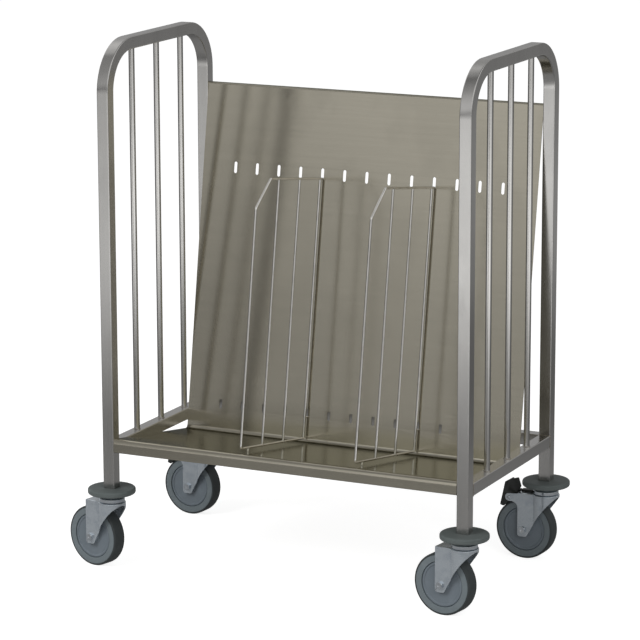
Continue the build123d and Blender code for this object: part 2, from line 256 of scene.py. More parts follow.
# ---- Finishes ----
class Grain(Enum):
    """The way that a ground finish runs."""

    ALONG_X = (0.02, 1.0, 1.0)
    ALONG_Y = (1.0, 0.02, 1.0)
    ALONG_Z = (1.0, 1.0, 0.02)

    def lines(self, shader: Shader, per_metre: float) -> Signal:
        """Return scratches that run this way."""
        return shader.noise([share * per_metre for share in self.value], detail=3.0, rough=0.6)


@dataclass(frozen=True)
class GroundSteel:
    """Ground stainless steel: long fine scratches, faint waves in the metal and handling marks."""

    name: str
    colour: Colour
    roughness: float
    grain: Grain
    per_metre: float = 900.0
    line_depth: float = 0.000007
    wave_depth: float = 0.0
    bent_from: float = 0.985
    bent_to: float = 1.055
    bent_over: bool = False
    edge_on: Colour = WHITE
    streak_width: float = 8.0
    streak_contrast: float = 0.12
    line_contrast: float = 0.06
    cloud_scale: Triple = (9.0, 9.0, 7.0)
    cloud_dulling: float = 0.95
    mark_scale: Triple = (24.0, 24.0, 16.0)
    mark_roughness: float = 0.05

    def make(self) -> Material:
        """Build the finish.

        Returns:
            The finish as a material.
        """
        paint = Paint(self.name)
        lines = self.grain.lines(paint, self.per_metre)
        if self.bent_over:
            over = Grain.ALONG_Y.lines(paint, self.per_metre)
            lines = lines + (over - lines) * paint.height().ramp(self.bent_from, self.bent_to)
        streaks = self.grain.lines(paint, self.per_metre / self.streak_width)
        cloud = paint.noise(self.cloud_scale, detail=3.0, rough=0.55)
        marks = paint.noise(self.mark_scale, detail=4.0, rough=0.62)
        clouded = tuple(c * self.cloud_dulling for c in self.colour)
        base = paint.mix(cloud.ramp(0.42, 0.62), self.colour, clouded)
        wear = marks.ramp(0.58, 0.78) * self.mark_roughness
        contrast = 0.90 + streaks * self.streak_contrast + lines * self.line_contrast
        return paint.surface(
            Base_Color=paint.shade(base, contrast),
            Metallic=1.0,
            Roughness=self.roughness - 0.03 + lines * 0.05 + cloud.ramp(0.45, 0.75) * 0.02 + wear,
            Normal=paint.bump(lines + cloud * (self.wave_depth / self.line_depth), self.line_depth),
            Specular_Tint=(*self.edge_on, 1.0),
        )


@dataclass(frozen=True)
class PlatedSteel:
    """Zinc plate: bright, slightly blue, with soft clouds and a fine pressed grain."""

    name: str
    colour: Colour
    roughness: float
    tint: Colour
    metallic: float = 1.0
    edge_on: Colour = WHITE
    cloud_scale: float = 55.0
    grit_scale: float = 1500.0
    grit_depth: float = 0.000006

    def make(self) -> Material:
        """Build the finish.

        Returns:
            The finish as a material.
        """
        paint = Paint(self.name)
        cloud = paint.noise([self.cloud_scale] * 3, detail=3.0, rough=0.6)
        grit = paint.noise([self.grit_scale] * 3)
        base = paint.mix(cloud.ramp(0.45, 0.70), self.colour, self.tint)
        return paint.surface(
            Base_Color=paint.shade(base, 0.92 + grit * 0.12),
            Metallic=self.metallic,
            Roughness=self.roughness + cloud * 0.10,
            Normal=paint.bump(grit + cloud * 6.0, self.grit_depth),
            Specular_Tint=(*self.edge_on, 1.0),
        )


@dataclass(frozen=True)
class Moulded:
    """Moulded rubber or plastic: a fine grained skin, paler where it is rubbed."""

    name: str
    colour: Colour
    roughness: float
    grain_size: float = 0.0006
    grain_depth: float = 0.00003
    rubbed: float = 0.30
    cloud_scale: float = 38.0
    scuff_scale: Triple = (150.0, 150.0, 420.0)

    def make(self) -> Material:
        """Build the finish.

        Returns:
            The finish as a material.
        """
        paint = Paint(self.name)
        skin = paint.noise([1.0 / self.grain_size] * 3)
        cloud = paint.noise([self.cloud_scale] * 3, detail=4.0, rough=0.6)
        scuffs = paint.noise(self.scuff_scale, detail=3.0, rough=0.7)
        pale = tuple(min(1.0, c * 1.5 + 0.02) for c in self.colour)
        worn = cloud.ramp(0.50, 0.80) + scuffs.ramp(0.62, 0.80) * 0.5
        base = paint.mix(worn * self.rubbed, self.colour, pale)
        return paint.surface(
            Base_Color=paint.shade(base, 0.94 + skin * 0.10),
            Roughness=self.roughness - 0.04 + cloud * 0.12,
            Normal=paint.bump(skin, self.grain_depth),
            Specular_IOR_Level=0.4,
        )


@dataclass(frozen=True)
class WeldMetal:
    """Weld metal: rippled and bright, with a straw and brown heat tint."""

    name: str
    colour: Colour
    tint: Colour
    ripple_scale: float = 900.0
    ripple_depth: float = 0.00006
    heat_scale: float = 160.0

    def make(self) -> Material:
        """Build the finish.

        Returns:
            The finish as a material.
        """
        paint = Paint(self.name)
        ripple = paint.noise([self.ripple_scale] * 3)
        heat = paint.noise([self.heat_scale] * 3)
        return paint.surface(
            Base_Color=paint.mix(heat.ramp(0.35, 0.70), self.colour, self.tint),
            Metallic=1.0,
            Roughness=0.28 + ripple * 0.15,
            Normal=paint.bump(ripple, self.ripple_depth),
        )


class Finishes:
    """The cart's materials, each made once and kept by its use."""

    def __init__(self) -> None:
        """Make all the materials."""
        steel: Colour = (0.565, 0.555, 0.538)
        sheet: Colour = (0.513, 0.482, 0.399)
        straw: Colour = (0.34, 0.31, 0.27)
        self.bent = GroundSteel("ground_tube_bent", steel, 0.22, Grain.ALONG_Z, bent_over=True).make()
        self.side = GroundSteel("ground_tube_sideways", steel, 0.22, Grain.ALONG_Y).make()
        self.cross = GroundSteel("ground_tube_lengthways", steel, 0.22, Grain.ALONG_X).make()
        self.sheet = GroundSteel(
            "ground_sheet", sheet, 0.15, Grain.ALONG_X, per_metre=1000.0,
            line_depth=0.000022, wave_depth=0.00002, edge_on=(0.52, 0.52, 0.46),
        ).make()
        self.rod = GroundSteel(
            "drawn_rod", (0.60, 0.59, 0.57), 0.13, Grain.ALONG_Z,
            line_depth=0.000001, edge_on=(0.40, 0.40, 0.39),
        ).make()
        self.wire = PlatedSteel(
            "bright_wire", (0.92, 0.90, 0.86), 0.05, (0.80, 0.78, 0.74), edge_on=(0.30, 0.29, 0.27)
        ).make()
        self.zinc = PlatedSteel("zinc_plate", (0.57, 0.62, 0.665), 0.13, (0.485, 0.535, 0.585), 0.76).make()
        self.bright_zinc = PlatedSteel("bright_zinc", (0.70, 0.74, 0.78), 0.12, (0.56, 0.61, 0.67)).make()
        self.bumper = Moulded("bumper_rubber", (0.092, 0.107, 0.105), 0.60).make()
        self.tyre_side = Moulded("tyre_rubber_grey", (0.139, 0.164, 0.176), 0.55).make()
        # The tread's colour is a darker copy of the grey tyre rubber: painted shade on the tread and its
        # shoulders.
        self.tread_painted_shade = Moulded("tread_rubber_painted_shade", (0.034, 0.040, 0.041), 0.62).make()
        self.hub = Moulded("hub_plastic", (0.135, 0.160, 0.182), 0.45, grain_size=0.0009).make()
        self.pedal = Moulded("pedal_plastic", (0.020, 0.022, 0.021), 0.42, grain_size=0.0008).make()
        self.bush = Moulded("bush_plastic", (0.55, 0.53, 0.48), 0.45).make()
        self.plug = Moulded("plug_plastic", (0.02, 0.02, 0.02), 0.5).make()
        self.weld = WeldMetal("weld_metal", (0.42, 0.40, 0.37), straw).make()
        self.spot = WeldMetal("spot_weld", (0.58, 0.56, 0.52), (0.45, 0.42, 0.38)).make()


# ---- Mesh helpers ----
def dress(obj: Object, material: Material) -> None:
    """Give an object one material and no other."""
    obj.data.materials.clear()
    obj.data.materials.append(material)


def smooth(mesh: Mesh, sharp_degrees: float = 32.0) -> None:
    """Shade a mesh smoothly and keep its sharp edges sharp."""
    mesh.shade_smooth()
    mesh.set_sharp_from_angle(angle=math.radians(sharp_degrees))


def settle_normals(obj: Object) -> None:
    """Let large flat faces set the shading of the bends beside them.

    Args:
        obj: The object, which gets a new mesh.
    """
    modifier = obj.modifiers.new("flat faces first", "WEIGHTED_NORMAL")
    modifier.keep_sharp = True
    modifier.weight = 100
    evaluated = obj.evaluated_get(bpy.context.evaluated_depsgraph_get())
    mesh = bpy.data.meshes.new_from_object(evaluated)
    mesh.name = obj.name
    obj.modifiers.clear()
    obj.data = mesh


def add_object(name: str, data: bpy.types.ID) -> Object:
    """Put something into the scene.

    Args:
        name: The object's name.
        data: Its mesh, lamp or camera.

    Returns:
        The new object.
    """
    obj = bpy.data.objects.new(name, data)
    bpy.context.scene.collection.objects.link(obj)
    return obj


def from_bmesh(name: str, form: bmesh.types.BMesh, *materials: Material) -> Object:
    """Turn a bmesh into an object in the scene.

    Args:
        name: The object's name.
        form: The bmesh, which is freed.
        materials: The object's materials.

    Returns:
        The new object.
    """
    mesh = bpy.data.meshes.new(name)
    for material in materials:
        mesh.materials.append(material)
    form.to_mesh(mesh)
    form.free()
    return add_object(name, mesh)


def rounded(outline: Sequence[Corner], steps: int = 5) -> list[Pair]:
    """Round the corners of a closed outline.

    Args:
        outline: Points of (x, y, corner radius) in millimetres, once round.
        steps: How many points each round has.

    Returns:
        The outline's points in metres, with its corners turned into arcs.
    """
    points: list[Vector] = []
    for index, (x, y, radius) in enumerate(outline):
        corner = Vector((x, y))
        if radius <= 0.0:
            points.append(corner)
            continue
        before = Vector(outline[index - 1][:2]) - corner
        after = Vector(outline[(index + 1) % len(outline)][:2]) - corner
        reach = radius / math.tan(before.angle(after) / 2.0)
        start = corner + before.normalized() * reach
        end = corner + after.normalized() * reach
        for step in range(steps + 1):
            t = step / steps
            points.append(start * (1 - t) ** 2 + corner * 2 * t * (1 - t) + end * t**2)
    return [(p.x * MM, p.y * MM) for p in points]


@dataclass
class Turning:
    """A form turned about an axis, with flats for a spanner where it has them."""

    outline: Sequence[Corner]
    segments: int = 96
    across_flats: float = 0.0
    second_from: float = math.inf

    def reach(self, radius: float, turn: float) -> float:
        """Return how far a point of the outline lies from the axis.

        Args:
            radius: The outline's radius in metres.
            turn: The angle about the axis.

        Returns:
            The radius, cut back to the flats where there are any.
        """
        if not self.across_flats:
            return radius
        sixth = math.pi / 3
        off_middle = (turn + sixth / 2) % sixth - sixth / 2
        return min(radius, self.across_flats * MM / 2 / math.cos(off_middle))

    def make(self, name: str, place: Matrix, *materials: Material) -> Object:
        """Turn the outline.

        Args:
            name: The new object's name.
            place: The matrix that takes the form, with its axis on Z, to its place.
            materials: The form's material, and a second one for what lies outside second_from.

        Returns:
            The turned object.
        """
        outline = rounded(self.outline)
        form = bmesh.new()
        rings = []
        for step in range(self.segments):
            turn = math.tau * step / self.segments
            reached = [(self.reach(r, turn), h) for r, h in outline]
            rings.append([form.verts.new((r * math.cos(turn), r * math.sin(turn), h)) for r, h in reached])
        for here, there in zip(rings, rings[1:] + rings[:1]):
            for i in range(len(outline)):
                j = (i + 1) % len(outline)
                if outline[i][0] == outline[j][0] == 0.0:
                    continue
                face = form.faces.new((here[i], there[i], there[j], here[j]))
                face.material_index = int((outline[i][0] + outline[j][0]) / 2 > self.second_from * MM)
        bmesh.ops.remove_doubles(form, verts=form.verts, dist=TURNED_MERGE)
        bmesh.ops.recalc_face_normals(form, faces=form.faces)
        form.transform(place)
        obj = from_bmesh(name, form, *materials)
        smooth(obj.data)
        return obj


class NodeBuilder(Tree):
    """A Geometry Nodes tree under construction, with named inputs."""

    def __init__(self, name: str) -> None:
        """Start a tree that takes and gives geometry.

        Args:
            name: The tree's name.
        """
        super().__init__(bpy.data.node_groups.new(name, "GeometryNodeTree"))
        for way in ("INPUT", "OUTPUT"):
            self.tree.interface.new_socket("Geometry", in_out=way, socket_type="NodeSocketGeometry")
        self.start = self.tree.nodes.new("NodeGroupInput")
        self.keys: dict[str, str] = {}

    def given(self, name: str = "Geometry") -> Signal:
        """Return one of the tree's inputs."""
        return Signal(self, self.start.outputs[name])

    def size(self, name: str, kind: str = "NodeSocketFloat") -> Signal:
        """Add a named input.

        Args:
            name: What the size is called.
            kind: The socket's type.

        Returns:
            The signal inside the tree that carries the size.
        """
        made = self.tree.interface.new_socket(name, in_out="INPUT", socket_type=kind)
        self.keys[name] = made.identifier
        return self.given(name)

    def finish(self, geometry: Signal, material: Signal) -> None:
        """End the tree in real geometry with its material.

        Args:
            geometry: What the tree gives.
            material: Its material.
        """
        real = self.node("GeometryNodeRealizeInstances", {0: geometry})
        dressed = self.node("GeometryNodeSetMaterial", {"Geometry": real, "Material": material})
        self.node("NodeGroupOutput", {0: dressed})

    def run(self, name: str, carrier: Mesh, sizes: dict, sharp: float) -> Object:
        """Evaluate the tree on a mesh.

        Args:
            name: The new object's name.
            carrier: The mesh that the tree starts from.
            sizes: Input name to value.
            sharp: Edges sharper than this many degrees stay sharp.

        Returns:
            A plain mesh object with the tree's result.
        """
        holder = add_object(name + "_carrier", carrier)
        modifier = holder.modifiers.new("nodes", "NODES")
        modifier.node_group = self.tree
        for key, value in sizes.items():
            modifier[self.keys[key]] = value
        bpy.context.view_layer.update()
        evaluated = holder.evaluated_get(bpy.context.evaluated_depsgraph_get())
        mesh = bpy.data.meshes.new_from_object(evaluated)
        mesh.name = name
        bpy.data.objects.remove(holder)
        smooth(mesh, sharp)
        return add_object(name, mesh)


@dataclass
class RoundStock:
    """Round stock laid along paths: rods, weld beads with their ripples, and moulded ribs."""

    radius: float
    sides: int = 8
    step: float = 0.7 * MM
    ripple: float = 0.0
    ripple_pitch: float = 1.8 * MM
    sharp_degrees: float = 50.0

    def tree(self) -> NodeBuilder:
        """Build the tree that sweeps a circle along every path of a mesh.

        Returns:
            The tree, ready to run.
        """
        build = NodeBuilder("round_stock")
        lengths = ("Radius", "Step", "Ripple", "Ripple pitch")
        radius, step, ripple, pitch = (build.size(name) for name in lengths)
        sides = build.size("Sides", "NodeSocketInt")
        material = build.size("Material", "NodeSocketMaterial")
        path = build.node("GeometryNodeMeshToCurve", {0: build.given()})
        fine = build.node("GeometryNodeResampleCurve", {"Curve": path, "Length": step}, mode="LENGTH")
        along = build.node("GeometryNodeSplineParameter", {}, "Length")
        swell = (along / pitch * math.tau).sine() * ripple + 1.0
        swollen = build.node("GeometryNodeSetCurveRadius", {"Curve": fine, "Radius": swell})
        profile = build.node("GeometryNodeCurvePrimitiveCircle", {"Resolution": sides, "Radius": radius})
        swept = build.node("GeometryNodeCurveToMesh", {0: swollen, 1: profile, "Fill Caps": True})
        build.finish(swept, material)
        return build

    def lay(self, name: str, paths: Sequence[Path], closed: bool, material: Material) -> Object:
        """Lay the stock along paths.

        Args:
            name: The new object's name.
            paths: Each path's points in metres.
            closed: Whether each path comes back to its start.
            material: The stock's material.

        Returns:
            The stock as one plain mesh object.
        """
        points: list[Vector] = []
        edges: list[tuple[int, int]] = []
        for path in paths:
            first = len(points)
            points.extend(path)
            edges.extend((i, i + 1) for i in range(first, len(points) - 1))
            if closed:
                edges.append((len(points) - 1, first))
        carrier = bpy.data.meshes.new(name + "_paths")
        carrier.from_pydata([tuple(p) for p in points], edges, [])
        sizes = {
            "Radius": self.radius, "Step": self.step, "Ripple": self.ripple,
            "Ripple pitch": self.ripple_pitch, "Sides": self.sides, "Material": material,
        }
        return self.tree().run(name, carrier, sizes, self.sharp_degrees)


@dataclass
class Spots:
    """Small flattened lumps of weld at points, none quite like the next."""

    radius: float
    flatness: float = 0.75
    smallest: float = 0.85
    largest: float = 1.12
    seed: int = 7
    sharp_degrees: float = 60.0

    def tree(self) -> NodeBuilder:
        """Build the tree that puts a lump on every point of a mesh.

        Returns:
            The tree, ready to run.
        """
        build = NodeBuilder("weld_spots")
        radius, flatness = build.size("Radius"), build.size("Flatness")
        seed = build.size("Seed", "NodeSocketInt")
        material = build.size("Material", "NodeSocketMaterial")
        ball = build.node("GeometryNodeMeshUVSphere", {"Segments": 12, "Rings": 8, "Radius": radius})
        shape = build.node("ShaderNodeCombineXYZ", {"X": 1.0, "Y": 1.0, "Z": flatness})
        lump = build.node("GeometryNodeTransform", {"Geometry": ball, "Scale": shape})
        points = build.node("GeometryNodeMeshToPoints", {0: build.given()})
        spread = {"Min": self.smallest, "Max": self.largest, "Seed": seed}
        scale = build.node("FunctionNodeRandomValue", spread, 1, data_type="FLOAT")
        sockets = {"Points": points, "Instance": lump, "Scale": scale}
        build.finish(build.node("GeometryNodeInstanceOnPoints", sockets), material)
        return build

    def put(self, name: str, points: Sequence[Vector], material: Material) -> Object:
        """Put a lump at each point.

        Args:
            name: The new object's name.
            points: The places in metres.
            material: The weld's material.

        Returns:
            The lumps as one plain mesh object.
        """
        carrier = bpy.data.meshes.new(name + "_points")
        carrier.from_pydata([tuple(p) for p in points], [], [])
        sizes = {"Radius": self.radius, "Flatness": self.flatness, "Seed": self.seed, "Material": material}
        return self.tree().run(name, carrier, sizes, self.sharp_degrees)


# ---- The cart, one class for each sub-assembly ----
@dataclass
class Cart:
    """What every sub-assembly shares: the frame, its nodes and the finishes."""

    frame: dict
    finishes: Finishes

    def node(self, name: str) -> Object:
        """Return a CAD node's object."""
        return self.frame["nodes"][name]

    def body_of(self, node: str) -> str:
        """Return the name of the body that holds a node."""
        bodies = self.frame["record"]["behaviour"]["bodies"]
        return next(body for body, nodes in bodies.items() if node in nodes)

    def joint(self, name: str) -> dict:
        """Return a joint of the record."""
        return next(j for j in self.frame["joints"] if j["name"] == name)

    def goes_with(self, obj: Object, node: str) -> Object:
        """Let a piece ride with a node's body.

        Args:
            obj: The piece.
            node: The node's name.

        Returns:
            The piece.
        """
        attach(obj, self.body_of(node))
        log.info("%s goes with %s", obj.name, node)
        return obj

    def stands_for(self, obj: Object, *nodes: str) -> Object:
        """Let a piece take the place of nodes of one body, and return the piece."""
        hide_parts(*nodes)
        return self.goes_with(obj, nodes[0])

    def refine(self, node: str, material: Material, sharp_degrees: float = 32.0) -> Object:
        """Replace a node by the same form with smooth shading.

        Args:
            node: The node's name.
            material: The finish.
            sharp_degrees: Edges sharper than this stay sharp.

        Returns:
            The smooth piece.
        """
        form = bmesh.new()
        form.from_mesh(self.node(node).data)
        bmesh.ops.remove_doubles(form, verts=form.verts, dist=PACKED_MERGE)
        obj = from_bmesh(node + "_finished", form, material)
        smooth(obj.data, sharp_degrees)
        settle_normals(obj)
        return self.stands_for(obj, node)


@dataclass
class WeldedFrame(Cart):
    """Side frames, rails, rods and cross rail, with the welds that join them."""

    rod_bead: float = 1.5 * MM
    rail_bead: float = 1.1 * MM
    bead_ripple: float = 0.14
    tube_corner: float = 2.0
    rod_sides: int = 40
    rod_step: float = 60.0 * MM
    ring_points: int = 32

    def build(self) -> None:
        """Dress the tubes, lay the rods and add the welds."""
        rod_rings: list[Path] = []
        rail_rings: list[Path] = []
        for side in ("left", "right"):
            self.refine(f"{side}_side_frame", self.finishes.bent)
            self.refine(f"{side}_side_rail", self.finishes.side)
            rod_rings += self.rods(side)
            rail_rings += self.tube_rings(f"{side}_side_rail", 1)
        self.refine("rear_cross_rail", self.finishes.cross)
        rail_rings += self.tube_rings("rear_cross_rail", 0)
        dress(self.node("leg_plugs"), self.finishes.plug)
        dress(self.node("kingpins"), self.finishes.bright_zinc)
        beads = (("rod_welds", self.rod_bead, rod_rings), ("rail_welds", self.rail_bead, rail_rings))
        for name, radius, rings in beads:
            stock = RoundStock(radius, ripple=self.bead_ripple)
            self.goes_with(stock.lay(name, rings, True, self.finishes.weld), "left_side_rail")

    def rods(self, side: str) -> list[Path]:
        """Lay one side's upright rods.

        Args:
            side: Which side frame they stand in.

        Returns:
            The rings where weld beads go, two for each rod.
        """
        nodes = [f"{side}_rod_{name}" for name in ("front", "middle", "rear")]
        boxes = [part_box(node) for node in nodes]
        radius = (boxes[0][1].x - boxes[0][0].x) / 2
        feet = [Vector(((low.x + high.x) / 2, (low.y + high.y) / 2, low.z)) for low, high in boxes]
        rise = Vector((0.0, 0.0, boxes[0][1].z - boxes[0][0].z))
        stock = RoundStock(radius, self.rod_sides, self.rod_step)
        rods = stock.lay(f"{side}_rods", [(foot, foot + rise) for foot in feet], False, self.finishes.rod)
        self.stands_for(rods, *nodes)
        rings = []
        for foot in feet:
            for middle in (foot, foot + rise):
                turns = (math.tau * step / self.ring_points for step in range(self.ring_points))
                rings.append([middle + radius * Vector((math.cos(t), math.sin(t), 0.0)) for t in turns])
        return rings

    def tube_rings(self, node: str, along: int) -> list[Path]:
        """Return the two rings round a square tube's ends.

        Args:
            node: The tube's node.
            along: The axis that the tube runs along, 0 for X and 1 for Y.

        Returns:
            The closed paths that the weld beads follow.
        """
        low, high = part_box(node)
        across = 1 - along
        half = (high.z - low.z) / 2 / MM
        square = [(u * half, v * half, self.tube_corner) for u, v in ((-1, -1), (1, -1), (1, 1), (-1, 1))]
        rings = []
        for end in (low[along], high[along]):
            ring = []
            for u, v in rounded(square):
                point = Vector((0.0, 0.0, (low.z + high.z) / 2 + v))
                point[along] = end
                point[across] = (low[across] + high[across]) / 2 + u
                ring.append(point)
            rings.append(ring)
        return rings


@dataclass
class Rack(Cart):
    """The folded rack sheet, the channel behind its panel and the tacks that hold it."""

    tack: float = 1.6 * MM
    sunk: float = 1.0 * MM
    tacks_along_shelf: int = 4
    fold_y: float = 91.4 * MM
    # Behind the sheet's front, and height
    lip_tack: Pair = (5.0 * MM, 244.8 * MM)
    # Before the sheet's back, and under its top
    return_tacks: tuple[Pair, ...] = ((1.0 * MM, 6.0 * MM), (1.0 * MM, 18.0 * MM), (10.0 * MM, 0.6 * MM))

    def build(self) -> None:
        """Dress the sheet and the channel and add the tack welds."""
        self.refine("rack_sheet", self.finishes.sheet)
        self.refine("panel_stiffener", self.finishes.cross)
        self.tacks()

    def tacks(self) -> None:
        """Tack the sheet's ends to the legs and the side rails, on the sides that don't show."""
        low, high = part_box("rack_sheet")
        rail_low, rail_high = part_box("left_side_rail")
        in_front, lip_z = self.lip_tack
        points = []
        for x in (low.x, high.x):
            for step in range(self.tacks_along_shelf):
                share = (step + 0.5) / self.tacks_along_shelf
                drop = (rail_high.z - rail_low.z) * share
                forward = (rail_high.z - drop - low.z) / math.tan(LEAN)
                points.append(Vector((x, self.fold_y - forward, rail_high.z - drop - self.sunk)))
            for before, below in self.return_tacks:
                points.append(Vector((x, high.y - before, high.z - below)))
            points.append(Vector((x, low.y + in_front, lip_z)))
        self.goes_with(Spots(self.tack).put("rack_tacks", points, self.finishes.weld), "rack_sheet")


@dataclass
class Divider(Cart):
    """One lift-out wire divider, with the spot welds where its wires cross."""

    side: str = "left"
    weld_radius: float = 2.9 * MM
    weld_flatness: float = 0.9
    half_bar_pitch: float = 48.0 * MM

    def build(self) -> None:
        """Dress the wires and add the spot welds."""
        for piece in ("outline", "bars", "foot", "lower_hook"):
            self.refine(f"{self.side}_divider_{piece}", self.finishes.wire, sharp_degrees=40.0)
        self.spot_welds()

    def spot_welds(self) -> None:
        """Put a small lump of weld where each upright meets the bent outline."""
        mesh = self.node(f"{self.side}_divider_bars").data
        up = Vector((0.0, math.sin(LEAN), math.cos(LEAN)))
        forward = Vector((0.0, -math.cos(LEAN), math.sin(LEAN)))
        bars: dict[int, list[Vector]] = {}
        for vertex in mesh.vertices:
            bar = round(vertex.co.dot(forward) / self.half_bar_pitch)
            bars.setdefault(bar, []).append(vertex.co.copy())
        points = []
        for group in bars.values():
            middle = sum(group, Vector()) / len(group)
            heights = [p.dot(up) for p in group]
            for height in (min(heights), max(heights)):
                points.append(middle + up * (height - middle.dot(up)))
        stock = Spots(self.weld_radius, self.weld_flatness)
        spots = stock.put(f"{self.side}_divider_spots", points, self.finishes.spot)
        self.goes_with(spots, f"{self.side}_divider_bars")


@dataclass
class Caster(Cart):
    """One swivel caster with its bumper, its turned wheel and its fastenings.

    An outline's points are (radius, height along the axis, corner radius), and painted_shade_from and spanner
    go with them, all in millimetres. The lock's outline is its plan on the crown, and the pedal's face
    runs between two points of (distance from the stem, height), in millimetres too.
    """

    corner: str = "front_left"
    braked: bool = False

    tyre_side: tuple[Corner, ...] = (
        (46.0, 15.0, 0.8), (57.9, 15.0, 0.2), (58.1, 14.5, 0.15), (58.5, 14.5, 0.15), (58.7, 14.95, 0.1),
        (62.5, 15.0, 3.7),
    )
    # The tyre is the grey rubber out to this radius, and the darker tread copy beyond it: painted shade.
    painted_shade_from: float = 58.4
    hub_side: tuple[Corner, ...] = (
        (7.55, 17.7, 0.3), (13.0, 17.7, 1.0), (15.0, 12.0, 1.2), (39.5, 12.0, 1.0), (41.0, 13.5, 0.8),
        (44.0, 13.5, 0.8), (46.0, 11.5, 0.0),
    )
    bolt: tuple[Corner, ...] = (
        (0.0, -25.1, 0.0), (2.4, -25.1, 0.3), (3.1, -25.8, 0.4), (6.3, -25.8, 0.3), (7.6, -25.1, 0.0),
        (7.6, -20.5, 0.0), (4.0, -20.5, 0.0), (4.0, 27.0, 0.0), (3.6, 27.4, 0.0), (4.0, 27.8, 0.0),
        (3.6, 28.3, 0.0), (4.0, 28.7, 0.0), (3.2, 29.5, 0.2), (0.0, 29.5, 0.0),
    )
    nut: tuple[Corner, ...] = (
        (4.1, 20.5, 0.0), (6.6, 20.5, 0.2), (7.6, 21.0, 0.0), (7.6, 26.4, 0.0), (6.5, 27.0, 0.2),
        (4.6, 27.0, 0.2), (4.1, 26.4, 0.0),
    )
    race: tuple[Corner, ...] = (
        (6.05, 157.0, 0.0), (19.0, 157.0, 0.0), (19.0, 149.0, 1.0), (24.5, 149.0, 0.8), (26.0, 147.5, 0.8),
        (26.0, 141.3, 0.5), (22.5, 141.3, 0.3), (22.5, 143.8, 0.0), (6.05, 143.8, 0.0),
    )
    bolt_segments: int = 48
    spanner: float = 13.0
    lock: tuple[Corner, ...] = (
        (-28.0, -8.0, 1.0), (-44.0, -8.0, 3.0), (-53.0, -5.0, 2.5), (-53.0, 5.0, 2.5), (-44.0, 8.0, 3.0),
        (-28.0, 8.0, 1.0),
    )
    lock_foot: float = 139.5 * MM
    lock_top: float = 144.0 * MM
    lock_taper: Pair = (0.98, 0.85)
    lock_edge: float = 1.0 * MM
    rib_count: int = 5
    rib_radius: float = 0.7 * MM
    rib_step: float = 8.0 * MM
    rib_margin: float = 0.9
    pedal_face: tuple[Pair, Pair] = ((-89.0, 135.5), (-84.0, 158.5))
    pedal_half_width: float = 16.0 * MM

    def build(self) -> None:
        """Dress the caster's pieces and turn its wheel and fastenings."""
        look = self.finishes
        self.refine(f"{self.corner}_bumper", look.bumper)
        self.refine(f"{self.corner}_fork", look.zinc)
        self.refine(f"{self.corner}_axle_bush", look.bush)
        axle = self.axle()
        tyre = Turning(self.mirrored(self.tyre_side), second_from=self.painted_shade_from)
        # The tread and its shoulders take the darker rubber: painted shade.
        self.turned("tyre", tyre, axle, look.tyre_side, look.tread_painted_shade)
        self.turned("hub", Turning(self.mirrored(self.hub_side)), axle, look.hub)
        for piece, outline in (("axle_bolt", self.bolt), ("axle_nut", self.nut)):
            self.turned(piece, Turning(outline, self.bolt_segments, self.spanner), axle, look.bright_zinc)
        self.turned("race_cup", Turning(self.race), self.stem(), look.bright_zinc)
        if self.braked:
            self.refine(f"{self.corner}_brake_pedal", look.pedal)
            self.refine(f"{self.corner}_pedal_pin", look.bright_zinc)
            self.ribs()
            self.swivel_lock()

    def mirrored(self, side: Sequence[Corner]) -> list[Corner]:
        """Return an outline with its other side, mirrored across the wheel's middle."""
        return list(side) + [(r, -h, round_off) for r, h, round_off in reversed(side)]

    def swing(self) -> Matrix:
        """Return how far the caster has swung about its stem."""
        axis = Vector(self.joint(f"{self.corner}_wheel")["axis"])
        return Matrix.Rotation(math.atan2(-axis.x, axis.y), 4, "Z")

    def stem(self) -> Matrix:
        """Return the place of the stem's foot on the floor, swung with the caster."""
        x, y, _ = self.joint(f"{self.corner}_swivel")["pos_m"]
        return Matrix.Translation((x, y, 0.0)) @ self.swing()

    def axle(self) -> Matrix:
        """Return the wheel's middle, with Z along the axle."""
        place = Matrix.Translation(self.joint(f"{self.corner}_wheel")["pos_m"])
        return place @ self.swing() @ Matrix.Rotation(-math.pi / 2, 4, "X")

    def turned(self, piece: str, form: Turning, place: Matrix, *materials: Material) -> None:
        """Turn a piece, named without its corner, and let it stand for its node."""
        node = f"{self.corner}_{piece}"
        self.stands_for(form.make(f"{node}_turned", place, *materials), node)

    def ribs(self) -> None:
        """Lay the grip ribs across the pedal's face."""
        (low, low_rise), (top, top_rise) = self.pedal_face
        stem = self.stem()
        paths = []
        for step in range(self.rib_count):
            share = (step + self.rib_margin) / (self.rib_count - 1 + 2 * self.rib_margin)
            u = (low + (top - low) * share) * MM
            z = (low_rise + (top_rise - low_rise) * share) * MM
            across = (-self.pedal_half_width, self.pedal_half_width)
            paths.append([stem @ Vector((u, v, z)) for v in across])
        stock = RoundStock(self.rib_radius, step=self.rib_step)
        ribs = stock.lay(f"{self.corner}_pedal_ribs", paths, False, self.finishes.pedal)
        self.goes_with(ribs, f"{self.corner}_brake_pedal")

    def swivel_lock(self) -> None:
        """Put the tongue of the swivel lock on the fork's crown."""
        along, across = self.lock_taper
        plan = rounded(self.lock)
        form = bmesh.new()
        under = [form.verts.new((u, v, self.lock_foot)) for u, v in plan]
        over = [form.verts.new((u * along, v * across, self.lock_top)) for u, v in plan]
        form.faces.new(under)
        form.faces.new(over)
        for i in range(len(under)):
            j = (i + 1) % len(under)
            form.faces.new((under[i], under[j], over[j], over[i]))
        bmesh.ops.recalc_face_normals(form, faces=form.faces)
        rim = [edge for edge in form.edges if all(v.co.z > self.lock_foot for v in edge.verts)]
        bmesh.ops.bevel(form, geom=rim, offset=self.lock_edge, segments=3, affect="EDGES", profile=0.5)
        form.transform(self.stem())
        obj = from_bmesh(f"{self.corner}_swivel_lock", form, self.finishes.pedal)
        smooth(obj.data)
        self.goes_with(obj, f"{self.corner}_fork")


